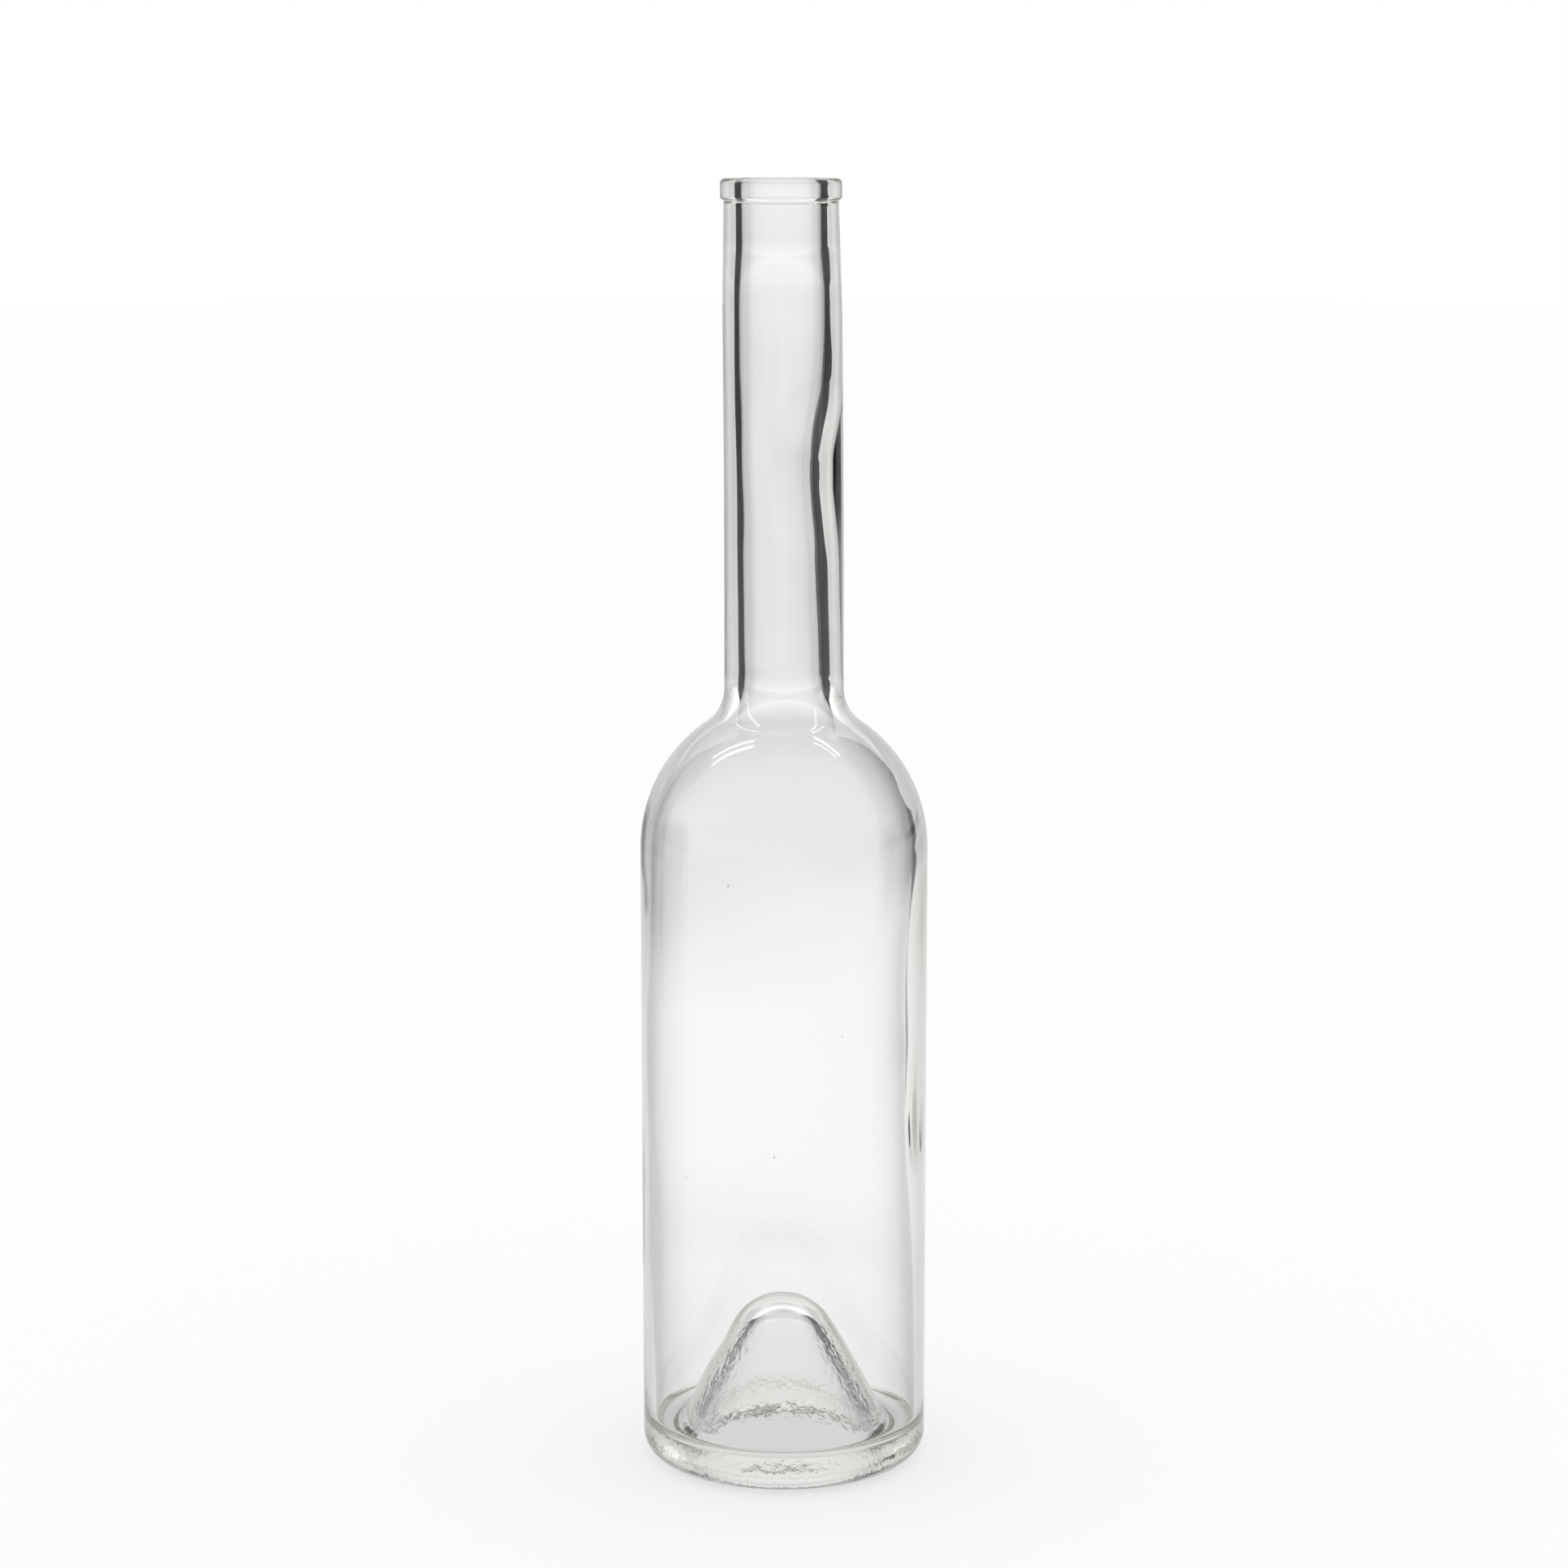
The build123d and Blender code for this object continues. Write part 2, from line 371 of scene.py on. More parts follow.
# %% Shift the hollow to one side
EVEN_SHARE, AVERAGED = 0.725, 5.0
shift_knots = [
    (8.0, 0.0), (30.0, 0.2), (60.0, 0.8), (90.0, 1.5), (108.0, 1.8), (120.0, 1.7), (130.0, 1.35),
    (138.0, 0.95), (145.0, 0.75), (151.0, 0.75), (158.0, 0.9), (166.0, 0.65), (190.0, 0.0),
]
nudges = np.linspace(-AVERAGED, AVERAGED, 11)
shift = np.mean([smooth_through(shift_knots, height + nudge) for nudge in nudges], axis=0)
toward = EVEN_SHARE * np.cos(turn) + (1 - EVEN_SHARE) * np.cos(turn) ** 2
moved += np.isin(zone, ["inside", "trough"]) * shift * toward
print("hollow shifted by up to", round(float(shift.max()), 2), "mm")

# %% [markdown]
# Low on the thick side the inside has one soft swelling, half a millimetre high, 20 mm long and
# six or seven wide. It is a gather of glass that ran down before it set. Nothing of its form can
# be seen, but it turns the rays near the outline by a few degrees, and they bring back a short dark
# mark from the black cards. A mark painted on the skin would show from every side.

# %% Add the swelling on the thick wall
SWELLING, SWELLING_HEIGHT, SWELLING_HEADING = 0.52, 85.0, -14.5
SWELLING_REACH, SWELLING_SPREAD = 8.5, radians(5)
swelling_up = bell(height - SWELLING_HEIGHT, SWELLING_REACH)
swelling_round = bell(from_heading(SWELLING_HEADING), SWELLING_SPREAD)
moved += (zone == "inside") * SWELLING * swelling_up * swelling_round
print("swelling:", SWELLING, "mm high at", SWELLING_HEIGHT, "mm up")

# %% [markdown]
# The neck has one large fault. On one side, halfway up, the soft glass sank inwards before it set,
# so the passage is pinched by a lump almost 2 mm high and about 40 mm long. Its outline is a bell
# curve up and down the neck, a little longer below its top, and another round the neck. Round the
# rest of the passage the glass sank too, unevenly, so that the hollow is no longer a circle. Three
# cosines add up to that uneven ring.

# %% Sink the lump into the neck
LUMP, LUMP_HEIGHT, REACH_ABOVE, REACH_BELOW = 1.58, 240.0, 8.8, 11.5
LUMP_SPREAD, LUMP_STEEPNESS = radians(31), 2.6
lump_reach = np.where(height > LUMP_HEIGHT, REACH_ABOVE, REACH_BELOW)
lump_up = bell(height - LUMP_HEIGHT, lump_reach)
dent = LUMP * bell(from_thick_side, LUMP_SPREAD, LUMP_STEEPNESS)
uneven = 0.54 + 0.29 * np.cos(turn) - 0.30 * np.cos(2 * turn) - 0.30 * np.cos(3 * turn)
moved += (zone == "passage") * lump_up * (dent + uneven)
print("lump's height, mm:", round(float((dent + uneven).max()), 2))

# %% [markdown]
# Between the shoulder and the lump the passage also lies up to half a millimetre off the middle,
# as the hollow of the body does. A straight neck with a straight hollow would draw two lines of one
# width, and the real one draws a thick and a thin one.

# %% Set the passage off the middle
off_knots = [
    (180.0, 0.0), (189.8, 0.1), (197.0, 0.25), (210.0, 0.45), (222.0, 0.5),
    (235.0, 0.5), (250.0, 0.3), (262.0, 0.1), (289.0, 0.0),
]
off_middle = smooth_through(off_knots, height)
moved += hollow * off_middle * np.cos(turn)
print("passage off the middle by up to", round(float(off_middle.max()), 2), "mm")

# %% [markdown]
# ## Stippled base
# The mould's base plate is peened with small dents, so that the bottle slides on the line without
# scratches and the punt hides handling marks. They are about half a millimetre wide. Here nearly
# half of their depth is drawn twice as coarse, so that it shows, and the finish adds fine grain.
# The dents fade out at the punt's smooth tip and near the ring. The ring's own go up into the
# glass alone, so that the bottle still stands on its lowest points.

# %% Stipple the punt and the ring
PUNT_DENTS, RING_DENTS = 0.085, 0.008
grain = ripples(spot, [(0.45, 1.0, 11), (0.55, 0.55, 12)])
flank_share = fade(height, 33, 29) * np.clip(0.25 + height / 9, 0, 1)
moved += (zone == "punt") * PUNT_DENTS * grain * flank_share
moved += (zone == "ring") * RING_DENTS * (grain - 1.0)
print("dents up to", round(float(np.abs(grain).max() * PUNT_DENTS), 3), "mm")

# %% [markdown]
# Now every fault is in one sum, and the points move once, along the wall's own normals. While it
# was hot the neck also sagged to the left: it leans by 0.7 mm at the mouth, and more steeply the
# higher it is, as a bent rod does. The last two lines keep every point inside the CAD box.

# %% Move the points and lean the neck
LEAN, LEAN_FROM, LEAN_OVER, LEAN_POWER = 0.62, 215.0, 82.0, 1.5
ON_AXIS = 0.001
radius_out = radius + moved * outward[:, :1]
height_out = height + moved * outward[:, 1:]
lean = -LEAN * np.clip((height_out - LEAN_FROM) / LEAN_OVER, 0, None) ** LEAN_POWER
radius_out = np.where(section[:, :1] < ON_AXIS, 0.0, np.clip(radius_out, 0.0, BODY_RADIUS))
height_out = np.clip(height_out, 0.0, TOP)
print("lean at the mouth, mm:", round(float(lean.min()), 2))

# %% [markdown]
# ## Build the mesh
# The first and the last row are single points on the axis, so they become poles with a fan of
# triangles. All other rows join their neighbours with quads.

# %% Make points and faces
ring_x = (radius_out * np.cos(turn) + lean)[1:-1].ravel() * MM
ring_y = (radius_out * np.sin(turn))[1:-1].ravel() * MM
ring_z = height_out[1:-1].ravel() * MM
points = np.stack([ring_x, ring_y, ring_z], 1)
rows_between = len(section) - 2
first_pole, last_pole = len(points), len(points) + 1
points = np.vstack([points, [0, 0, PUNT_TOP * MM], [0, 0, (tip_centre[1] + floor_tip) * MM]])
here = np.arange(rows_between * COLUMNS).reshape(rows_between, COLUMNS)
beside = np.roll(here, -1, axis=1)
quads = np.stack([here[:-1], beside[:-1], beside[1:], here[1:]], 2).reshape(-1, 4)
faces = quads.tolist()
faces += [[first_pole, b, a] for a, b in zip(here[0].tolist(), beside[0].tolist())]
faces += [[last_pole, a, b] for a, b in zip(here[-1].tolist(), beside[-1].tolist())]
print("points:", len(points), "faces:", len(faces))

# %% [markdown]
# Glass also holds seeds, small bubbles that never rose out of the melt. They are drawn out a little
# upwards, as the glass was. Each is a closed skin inside the wall whose faces look inwards to the
# air, so its faces run the other way round. A dark dot in the material would be simpler, but it
# wouldn't catch the light.

# %% Add the seeds
SEED_LONG, SEED_RINGS, SEED_SIDES = 1.6, 7, 14
seeds = [
    (-30.6, -11.4, 157.0, 0.22),
    (28.2, -16.8, 156.0, 0.24),
    (-12.6, -30.3, 145.5, 0.20),
    (-2.2, -32.8, 82.0, 0.18),
    (17.0, 28.2, 96.0, 0.16),
    (-25.0, 21.5, 62.0, 0.18),
    (31.4, 8.6, 118.0, 0.16),
]
all_points, all_faces = points.tolist(), faces
for x, y, z, size in seeds:
    base, tall = len(all_points), SEED_LONG * size
    for i in range(1, SEED_RINGS):
        lift, reach = cos(pi * i / SEED_RINGS), sin(pi * i / SEED_RINGS)
        for a in [2 * pi * j / SEED_SIDES for j in range(SEED_SIDES)]:
            out = (x + size * reach * cos(a), y + size * reach * sin(a), z + tall * lift)
            all_points.append([v * MM for v in out])
    top, foot = len(all_points), len(all_points) + 1
    all_points += [[x * MM, y * MM, (z + tall) * MM], [x * MM, y * MM, (z - tall) * MM]]
    lowest = base + (SEED_RINGS - 2) * SEED_SIDES
    for j in range(SEED_SIDES):
        k = (j + 1) % SEED_SIDES
        all_faces += [[top, base + k, base + j], [foot, lowest + j, lowest + k]]
        for i in range(SEED_RINGS - 2):
            a, b = base + i * SEED_SIDES + j, base + i * SEED_SIDES + k
            all_faces.append([a, b, b + SEED_SIDES, a + SEED_SIDES])
print("seeds:", len(seeds))

# %% [markdown]
# ## One piece of glass
# The bottle is one piece from the punt to the lip, so it is one mesh and one object. It rides on
# the CAD's only body and stands for the CAD's solid, which the picture then hides.

# %% Make the bottle object
mesh = bpy.data.meshes.new("glass_bottle")
mesh.from_pydata(all_points, [], all_faces)
mesh.validate()
mesh.shade_smooth()
bottle = bpy.data.objects.new("glass_bottle", mesh)
bpy.context.scene.collection.objects.link(bottle)
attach(bottle, "root")
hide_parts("bottle")
bottle_low, bottle_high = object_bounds()
print("bottle box, metres:", [round(v, 4) for v in (*bottle_low, *bottle_high)])

# %% [markdown]
# ## Colours and nodes
# Colours are picked as sRGB hex values, the way that a screen shows them, but light adds up in
# linear values. One function turns the first into the second. One more small function adds a node
# with its settings, values and links, and with the stops of its colour ramp where it has one, so
# that each material below reads as a list.

# %% Helpers for materials
def linear(code):
    """Linear RGBA from an sRGB hex value such as D8DAD2."""
    shares = [int(code[i : i + 2], 16) / 255 for i in (0, 2, 4)]
    return (*(s / 12.92 if s <= 0.04045 else ((s + 0.055) / 1.055) ** 2.4 for s in shares), 1.0)


def add_node(tree, kind, links=None, values=None, stops=None, **settings):
    """Adds a node with its settings, socket values, links and (place, hex value) ramp stops."""
    node = tree.nodes.new(kind)
    for name, value in settings.items():
        setattr(node, name, value)
    for socket, value in (values or {}).items():
        node.inputs[socket].default_value = value
    for socket, source in (links or {}).items():
        tree.links.new(source, node.inputs[socket])
    if stops:
        while len(node.color_ramp.elements) < len(stops):
            node.color_ramp.elements.new(0.5)
        for element, (place, code) in zip(node.color_ramp.elements, stops):
            element.position, element.color = place, linear(code)
    return node


def fresh_material(name):
    """A material without nodes, and its node tree."""
    material = bpy.data.materials.new(name)
    material.use_nodes = True
    material.node_tree.nodes.clear()
    return material, material.node_tree


print("middle grey 808080 is", round(linear("808080")[0], 3), "in linear light")

# %% [markdown]
# ## Soda-lime flint glass
# Bottle glass is soda-lime glass, blown and pressed in an iron mould. Its skin is fire-polished, so
# the eye gets sharp reflections and clear pictures through it. Only the peened base is dull. Both
# are one glass, so they are one material here. A ray that enters through one material and leaves
# through another would be counted as still inside the first one's volume, and everything behind
# the base would turn dark. So a mark on the skin's points chooses the roughness and the grain.

# %% Mark the peened part of the skin
PEENED_TOP, RING_SHARE = 31.5, 0.3
peened_row = 1.0 * ((zone_of == "punt") & (section[:, 1] < PEENED_TOP))
peened_row += RING_SHARE * (zone_of == "ring")
peened = np.zeros(len(mesh.vertices))
peened[: rows_between * COLUMNS] = np.repeat(peened_row[1:-1], COLUMNS)
mesh.attributes.new("peened", "FLOAT", "POINT").data.foreach_set("value", peened)
print("peened points:", int((peened > 0).sum()))

# %% [markdown]
# The polished skin isn't quite flat. The mould leaves waves about 22 mm wide and 0.02 mm deep,
# which only make reflections swim a little, so a bump is enough for them. On the peened part the
# bump turns to a grain of 0.55 mm, the width of the real dents, and is a little deeper.

# %% The skin of the glass
WAVE_WIDTH, WAVE_DEPTH = 22.0 * MM, 0.02 * MM
GRAIN_WIDTH, GRAIN_EXTRA_DEPTH = 0.55 * MM, 0.025 * MM
flint_glass, tree = fresh_material("soda_lime_flint_glass")
mark = add_node(tree, "ShaderNodeAttribute", attribute_name="peened").outputs["Fac"]
place = add_node(tree, "ShaderNodeTexCoord").outputs["Object"]
slow_wave, fine_grain = [
    add_node(
        tree,
        "ShaderNodeTexNoise",
        {"Vector": place},
        {"Scale": 1 / width, "Detail": 2.0, "Roughness": 0.5},
    )
    for width in (WAVE_WIDTH, GRAIN_WIDTH)
]
height_map = add_node(
    tree,
    "ShaderNodeMix",
    {0: mark, 2: slow_wave.outputs["Fac"], 3: fine_grain.outputs["Fac"]},
    data_type="FLOAT",
)
depth = add_node(
    tree,
    "ShaderNodeMath",
    {0: mark},
    {1: GRAIN_EXTRA_DEPTH, 2: WAVE_DEPTH},
    operation="MULTIPLY_ADD",
)
skin = add_node(
    tree,
    "ShaderNodeBump",
    {"Height": height_map.outputs[0], "Distance": depth.outputs[0]},
    {"Strength": 1.0},
)
print("waves and grain, per metre:", round(1 / WAVE_WIDTH, 1), round(1 / GRAIN_WIDTH, 1))

# %% [markdown]
# The index of soda-lime glass is 1.52. It is clear where it faces the eye. At a glancing angle its
# base colour falls to a mid grey: painted shade that stands for the darker room to the sides, and
# gives the outlines their firm dark edge. Layer Weight measures that angle.
#
# Traces of iron give thick parts a grey-green tint that a thin wall hardly shows. So the tint isn't
# painted on the skin. It is a volume that swallows a little light on every millimetre, and the
# heavy base turns green by itself.

# %% Make the glass
GLASS_INDEX, PEENED_ROUGHNESS, TINT_DENSITY = 1.52, 0.06, 6.0
IRON_TINT = linear("ADB576")
dull = add_node(tree, "ShaderNodeMath", {0: mark}, {1: PEENED_ROUGHNESS}, operation="MULTIPLY")
glancing = add_node(tree, "ShaderNodeLayerWeight", values={"Blend": 0.5})
# Painted shade: the glass greys towards its outline, standing for the dark room beside it.
rim_painted_shade = add_node(
    tree,
    "ShaderNodeValToRGB",
    {"Fac": glancing.outputs["Facing"]},
    stops=[
        (0.22, "FFFFFF"),
        (0.305, "FDFDFD"),
        (0.44, "F2F2F2"),
        (0.56, "E2E2E2"),
        (0.71, "B8B8B8"),
        (1.0, "959595"),
    ],
)
glass = add_node(
    tree,
    "ShaderNodeBsdfPrincipled",
    {
        "Normal": skin.outputs["Normal"],
        "Base Color": rim_painted_shade.outputs["Color"],
        "Roughness": dull.outputs[0],
    },
    {"IOR": GLASS_INDEX, "Transmission Weight": 1.0},
)
tint = add_node(
    tree,
    "ShaderNodeVolumeAbsorption",
    values={"Color": IRON_TINT, "Density": TINT_DENSITY},
)
add_node(
    tree,
    "ShaderNodeOutputMaterial",
    {"Surface": glass.outputs["BSDF"], "Volume": tint.outputs["Volume"]},
)
mesh.materials.append(flint_glass)
kept_light = [round(float(np.exp(-TINT_DENSITY * 35 * MM * (1 - c))), 2) for c in IRON_TINT[:3]]
print("red, green and blue kept over 35 mm of glass:", kept_light)

# %% [markdown]
# ## A room for the glass
# The floor is one sheet of matt white paper that has no edge in the picture. Paper is a mat of
# fibres, so it throws light back evenly and never shines: a diffuse shader does that. The lamps of
# a plain scene leave it a little under white. So most of it is also given a glow of strength 1,
# which is white, and the lit rest keeps the soft shadow where the bottle stands.

# %% Paper as the camera sees it
WHITE, PAPER_WHITE, GLOWING_SHARE = linear("FFFFFF"), linear("FAFAFA"), 0.65
paper, tree = fresh_material("matt_white_paper")
lit = add_node(tree, "ShaderNodeBsdfDiffuse", values={"Color": PAPER_WHITE})
white = add_node(tree, "ShaderNodeEmission", values={"Color": WHITE, "Strength": 1.0})
seen_paper = add_node(
    tree,
    "ShaderNodeMixShader",
    {1: lit.outputs["BSDF"], 2: white.outputs["Emission"]},
    {0: GLOWING_SHARE},
)
print("paper reflects", round(PAPER_WHITE[0], 3), "of the light")

# %% [markdown]
# What the glass shows is the floor behind it. A studio lights that most just round the object and
# less further out, and the bottle shades the paper under it. So a ray that comes through the glass
# or off it gets a painted grey by its distance from the bottle, in metres: a painted shadow under
# it, a painted pool of light round it, and beyond 0.62 m a painted fall-off by how far to the side
# it lands.
# Each grey is what a screen would show there.

# %% Paper as the glass shows it
SIDEWAYS_FROM, SIDEWAYS_FULL = 0.62, 0.82
# Painted fall-off of light towards the sides, for the floor and the low backdrop.
painted_side_falloff_greys = [
    (0.12, "FFFFFF"), (0.30, "F7F7F7"), (0.42, "EDEDED"), (0.60, "E7E7E7"), (0.94, "E5E5E5"),
]
# Painted shadow under the bottle out to about 0.04 m, then a painted pool of light that fades
# further out.
painted_pool_and_shadow_greys = [
    (0.0, "D6D6D6"), (0.022, "D6D6D6"), (0.034, "E5E5E5"), (0.045, "F0F0F0"),
    (0.11, "F2F2F2"), (0.15, "F6F6F6"), (0.185, "F2F2F2"), (0.22, "F6F6F6"),
    (0.255, "FAFAFA"), (0.475, "FAFAFA"), (0.52, "F6F6F6"), (0.56, "F5F5F5"),
    (0.64, "F3F3F3"), (0.70, "EFEFEF"), (0.76, "EBEBEB"), (0.92, "EDEDED"),
]
place = add_node(tree, "ShaderNodeTexCoord").outputs["Object"]
far = add_node(tree, "ShaderNodeVectorMath", {0: place}, operation="LENGTH").outputs["Value"]
axes = add_node(tree, "ShaderNodeSeparateXYZ", {0: place})
sideways = add_node(tree, "ShaderNodeMath", {0: axes.outputs["X"]}, operation="ABSOLUTE")
pool = add_node(tree, "ShaderNodeValToRGB", {"Fac": far}, stops=painted_pool_and_shadow_greys)
by_side = add_node(tree, "ShaderNodeValToRGB", {"Fac": sideways.outputs[0]}, stops=painted_side_falloff_greys)
steepness = 1 / (SIDEWAYS_FULL - SIDEWAYS_FROM)
far_off = add_node(
    tree,
    "ShaderNodeMath",
    {0: far},
    {1: steepness, 2: -SIDEWAYS_FROM * steepness},
    operation="MULTIPLY_ADD",
    use_clamp=True,
)
painted_floor_light = add_node(
    tree,
    "ShaderNodeMix",
    {0: far_off.outputs[0], 6: pool.outputs["Color"], 7: by_side.outputs["Color"]},
    data_type="RGBA",
    blend_type="MULTIPLY",
)
print("greys on the floor:", len(painted_pool_and_shadow_greys), "by distance,", len(painted_side_falloff_greys), "by side")

# %% [markdown]
# The two papers are joined by Light Path. Its answers glossy and transmission tell a ray that comes
# off the glass or through it from one that comes straight from the camera.

# %% Join the two papers
glow = add_node(tree, "ShaderNodeEmission", {"Color": painted_floor_light.outputs[2]}, {"Strength": 1.0})
ray = add_node(tree, "ShaderNodeLightPath")
in_glass = add_node(
    tree,
    "ShaderNodeMath",
    {0: ray.outputs["Is Glossy Ray"], 1: ray.outputs["Is Transmission Ray"]},
    operation="MAXIMUM",
)
both = add_node(
    tree,
    "ShaderNodeMixShader",
    {0: in_glass.outputs[0], 1: seen_paper.outputs["Shader"], 2: glow.outputs["Emission"]},
)
add_node(tree, "ShaderNodeOutputMaterial", {"Surface": both.outputs["Shader"]})
print("nodes in the paper:", len(tree.nodes))

# %% [markdown]
# The paper is a flat disc, 12 m across, that lies a fifth of a millimetre under the bottle, so that
# the two skins never share a place.

# %% Lay the floor
FLOOR_REACH, FLOOR_DROP = 6, 0.0002


def stage_sheet(name, corners, material, panels=None):
    """A stage sheet through the given corners, in metres, as one face or as panels."""
    sheet_mesh = bpy.data.meshes.new(name)
    sheet_mesh.from_pydata(corners, [], panels or [list(range(len(corners)))])
    sheet_mesh.materials.append(material)
    sheet = bpy.data.objects.new(name, sheet_mesh)
    bpy.context.scene.collection.objects.link(sheet)
    return sheet


floor_edge = [
    (FLOOR_REACH * cos(a), FLOOR_REACH * sin(a), -FLOOR_DROP)
    for a in np.linspace(0, 2 * pi, 64, endpoint=False)
]
stage_sheet("floor", floor_edge, paper)
print("floor:", 2 * FLOOR_REACH, "m across")

# %% [markdown]
# ## Black felt
# In an all-white room clear glass disappears. A glass photographer stands black cards just outside
# the picture on both sides. The neck is a strong lens, so it bends the cards into two thin black
# lines, while the wider body bends less and stays clear. The cards are covered with felt, whose
# upright fibres swallow light, so it has no shine at all. A plain dark glow gives the eye the same
# and stays even under every lamp. Each felt fades to the paper's tone at its near edge, because a
# hard edge would show as a hard line in the glass.

# %% Felt that fades with distance
def faded_felt(name, greys):
    """Black felt in greys that follow the distance from the bottle, in metres."""
    material, tree = fresh_material(name)
    place = add_node(tree, "ShaderNodeTexCoord").outputs["Object"]
    away = add_node(tree, "ShaderNodeVectorMath", {0: place}, operation="LENGTH")
    tone = add_node(tree, "ShaderNodeValToRGB", {"Fac": away.outputs["Value"]}, stops=greys)
    face = add_node(tree, "ShaderNodeEmission", {"Color": tone.outputs["Color"]}, {"Strength": 1.0})
    add_node(tree, "ShaderNodeOutputMaterial", {"Surface": face.outputs["Emission"]})
    return material


left_felt = faded_felt("black_felt_left", [(0.60, "F1F1F1"), (0.74, "B3B3B3"), (0.92, "121212")])
right_felt = faded_felt(
    "black_felt_right",
    [(0.42, "ECECEC"), (0.445, "BCBCBC"), (0.50, "959595"), (0.55, "616161"), (0.62, "121212")],
)
outer_felt = faded_felt("black_felt_outer", [(0.48, "EFEFEF"), (0.56, "B3B3B3"), (0.64, "121212")])
print("darkest felt, linear:", round(linear("121212")[0], 4))

# %% [markdown]
# A card is a curved sheet that lies on the floor from its near edge outwards and then stands up.
# Curved, it keeps one distance from the bottle, so its width can be given in degrees. The camera
# never sees it and it throws no shadow: only rays that the glass bends find it.

# %% A curved card
LIFT = 0.0005


def card(name, paint, rows, seen_by):
    """A curved card through rows of (height, first heading, last heading, distance).

    Headings turn clockwise from the back, in degrees. Heights and distances are in metres.
    """
    corners, panels = [], []
    columns = max(int(max(abs(row[2] - row[1]) for row in rows) / 4), 1) + 1
    for level, start, end, distance in rows:
        for heading in np.radians(np.linspace(start, end, columns)):
            corners.append((distance * sin(heading), distance * cos(heading), level))
    for row in range(len(rows) - 1):
        for i in range(row * columns, row * columns + columns - 1):
            panels.append([i, i + 1, i + columns + 1, i + columns])
    sheet = stage_sheet(name, corners, paint, panels)
    sheet.visible_camera = sheet.visible_diffuse = sheet.visible_shadow = False
    sheet.visible_glossy = seen_by == "glossy"
    sheet.visible_transmission = seen_by == "transmission"
    print(name, "has", len(panels), "panels")


print("cards lie", LIFT / MM, "mm above the paper")

# %% [markdown]
# The three black cards stand behind the bottle, one on the left and two on the right. The one on
# the left has straight edges. The inner edge of the right one wanders, and each part of it draws
# its own stretch of the dark line down the right of the neck, the shoulder and the body: the part
# on the floor works low on the glass, and the standing part draws the neck. The outer card takes
# over further round, where the rim of the glass looks.

# %% Stand the black cards
FAR, CARD_TOP = 1.3, 1.5
left_rows = [(LIFT, -44, -70, 0.60), (LIFT, -44, -70, FAR), (CARD_TOP, -44, -70, FAR)]
right_on_floor = [
    (LIFT, 46.0, 49.0, 0.42),
    (LIFT, 45.0, 49.0, 0.46),
    (LIFT, 43.3, 49.0, 0.50),
    (LIFT, 41.3, 48.0, 0.56),
    (LIFT, 39.5, 48.0, 0.62),
    (LIFT, 38.0, 50.0, 0.68),
    (LIFT, 37.0, 50.0, 0.76),
    (LIFT, 38.0, 50.0, 0.90),
    (LIFT, 41.0, 50.0, 1.15),
    (LIFT, 41.0, 50.0, FAR),
]
right_standing = [
    (0.030, 38.0, 50.0, FAR),
    (0.050, 36.0, 50.0, FAR),
    (0.130, 36.0, 50.0, FAR),
    (0.178, 41.0, 50.0, FAR),
    (0.210, 42.5, 50.0, FAR),
    (0.285, 43.5, 50.0, FAR),
    (0.320, 40.0, 50.0, FAR),
    (0.360, 38.0, 50.0, FAR),
    (CARD_TOP, 38.0, 50.0, FAR),
]
outer_rows = [(LIFT, 50, 82, 0.48), (LIFT, 50, 82, FAR), (CARD_TOP, 50, 82, FAR)]
card("card_left", left_felt, left_rows, "transmission")
card("card_right", right_felt, right_on_floor + right_standing, "transmission")
card("card_right_outer", outer_felt, outer_rows, "transmission")

# %% [markdown]
# The skin of the glass mirrors the room too. Two lower cards, seen in reflections alone, give the
# sides of the body their soft grey. Hard edges would show on the skin as stripes, so this felt
# fades on every side: by height, and by how far to the back or the front it stands. The lighter of
# the two greys counts.

# %% Soft-edged felt for the reflections
SOFT_TOP, DEPTH_SCALE = 0.45, 0.77
soft_height = [(0.04, "ECECEC"), (0.14, "6C6C6C"), (0.22, "6C6C6C"), (0.45, "ECECEC")]
soft_depth = [(0.28, "ECECEC"), (0.42, "6C6C6C"), (0.9, "6C6C6C"), (0.98, "ECECEC")]
soft_felt, tree = fresh_material("soft_edged_felt")
place = add_node(tree, "ShaderNodeTexCoord").outputs["Object"]
axes = add_node(tree, "ShaderNodeSeparateXYZ", {0: place})
# 0.65 m in front of the bottle becomes 0, and 0.65 m behind it becomes 1.
backwards = add_node(
    tree,
    "ShaderNodeMath",
    {0: axes.outputs["Y"]},
    {1: DEPTH_SCALE, 2: 0.5},
    operation="MULTIPLY_ADD",
)
by_height = add_node(tree, "ShaderNodeValToRGB", {"Fac": axes.outputs["Z"]}, stops=soft_height)
by_depth = add_node(tree, "ShaderNodeValToRGB", {"Fac": backwards.outputs[0]}, stops=soft_depth)
lighter = add_node(
    tree,
    "ShaderNodeMix",
    {6: by_height.outputs["Color"], 7: by_depth.outputs["Color"]},
    {0: 1.0},
    data_type="RGBA",
    blend_type="LIGHTEN",
)
face = add_node(tree, "ShaderNodeEmission", {"Color": lighter.outputs[2]}, {"Strength": 1.0})
add_node(tree, "ShaderNodeOutputMaterial", {"Surface": face.outputs["Emission"]})
soft_left = [(LIFT, -44, -108, FAR), (SOFT_TOP, -44, -108, FAR)]
soft_right = [(LIFT, 24, 108, FAR), (SOFT_TOP, 24, 108, FAR)]
card("card_left_soft", soft_felt, soft_left, "glossy")
card("card_right_soft", soft_felt, soft_right, "glossy")

# %% [markdown]
# The lump in the neck is a small mirror of its own, and on the real bottle it has a dark mark. One
# low card on the right makes it. The card is 85 mm high and begins 85 mm above the paper. It stands
# just inside the others, so that the two never share a place, and fades at its top and foot.

